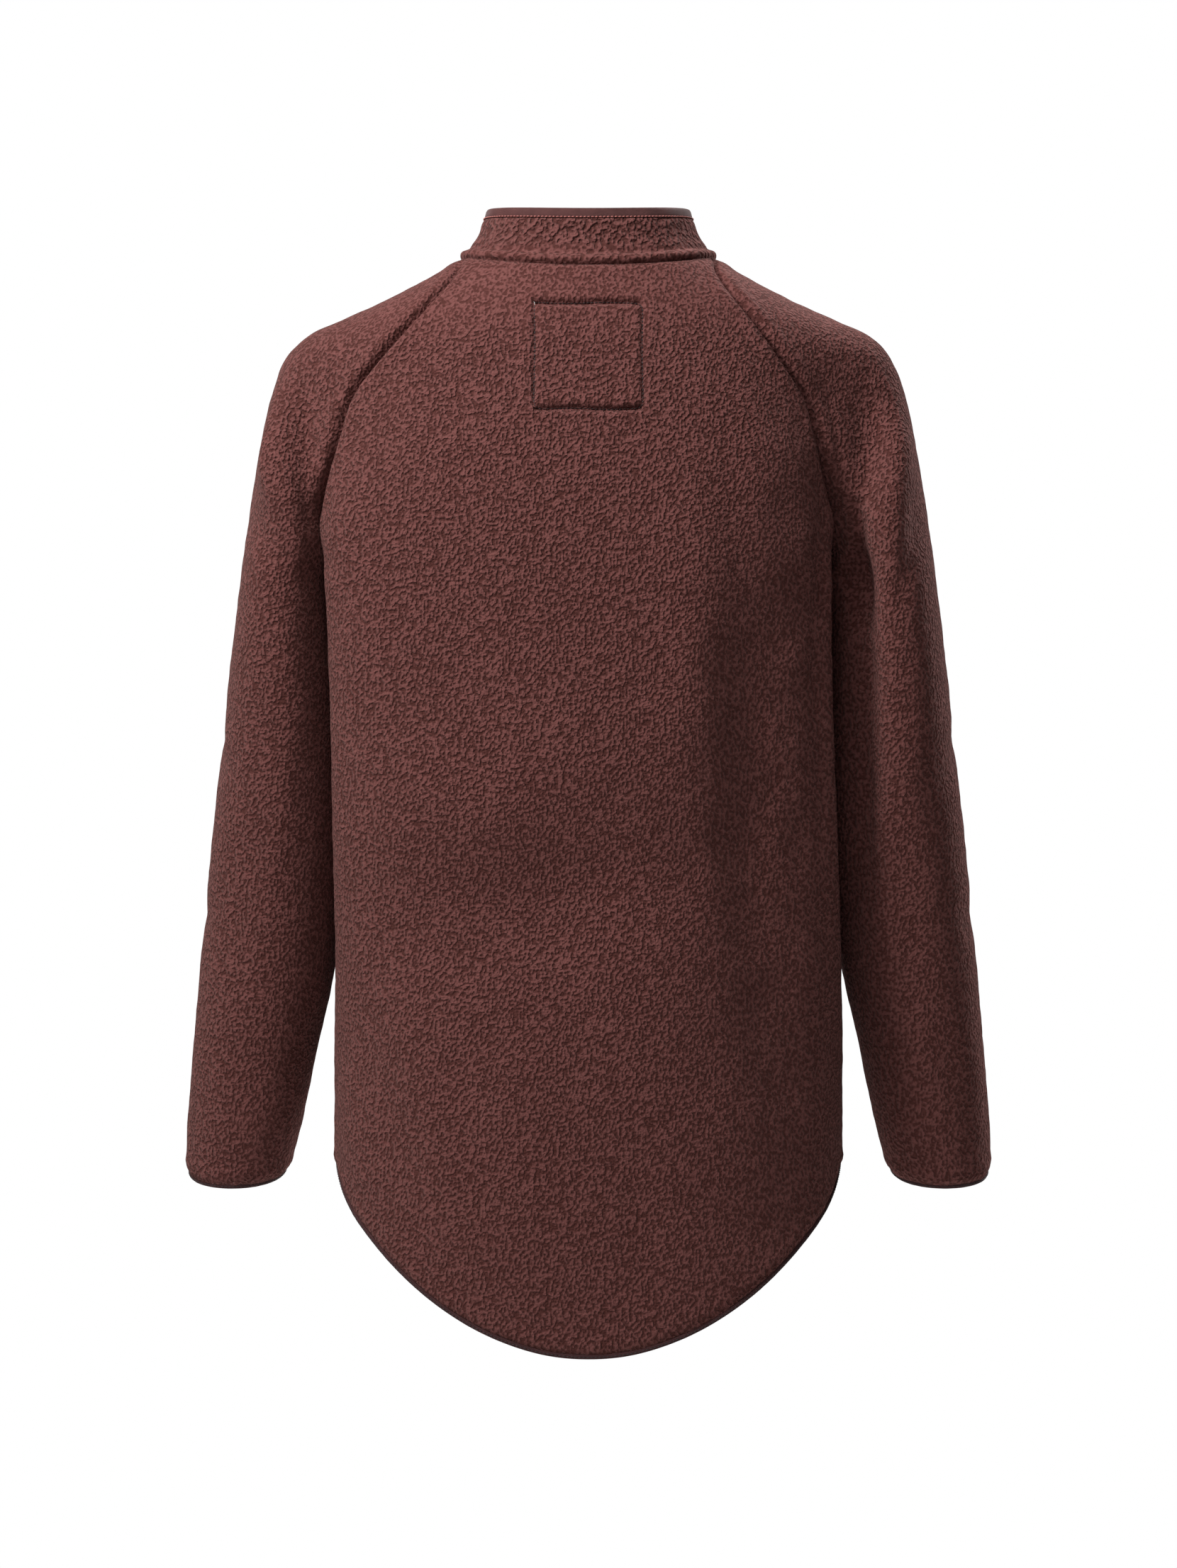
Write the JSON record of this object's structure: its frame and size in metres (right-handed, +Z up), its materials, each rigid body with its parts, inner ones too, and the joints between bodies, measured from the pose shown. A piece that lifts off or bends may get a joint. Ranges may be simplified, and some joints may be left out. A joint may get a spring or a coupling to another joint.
{
  "type": "fleece jacket",
  "caption": "Long fleece jacket in its worn form, hollow and open at neck, hem and cuffs, with raglan sleeves, stand collar and front zip.",
  "frame": {"origin": "centre of the neck, at the height of the shoulders' high point beside the collar", "axes": "+Z up along the body, -Y the front with the zip, +X the wearer's left"},
  "size_m": [0.6108, 0.2437, 0.8493],
  "materials": {
    "fleece": "nubbly pile, matt",
    "binding": "smooth stretch knit, slight sheen",
    "zip_tape": "woven, matt",
    "zip_teeth": "satin",
    "zip_metal": "satin"
  },
  "bodies": {
    "jacket": {"back": "fleece", "front_left": "fleece", "front_right": "fleece", "sleeve_left": "fleece", "sleeve_right": "fleece", "collar": "fleece", "collar_binding": "binding", "cuff_binding_left": "binding", "cuff_binding_right": "binding", "hem_binding_back": "binding", "hem_binding_front_left": "binding", "hem_binding_front_right": "binding", "zip_tape_left": "zip_tape", "zip_tape_right": "zip_tape", "zip_chain": "zip_teeth", "zip_box": "zip_metal", "zip_slider": "zip_metal"},
    "pull_tab": {"zip_pull": "zip_metal"}
  },
  "joints": [
    {"name": "pull_tab_swing", "type": "hinge", "parent": "jacket", "child": "pull_tab", "pos_m": [0, -0.07919, -0.03338], "axis": [-1, 0, 0], "range_deg": [0, 170]}
  ]
}
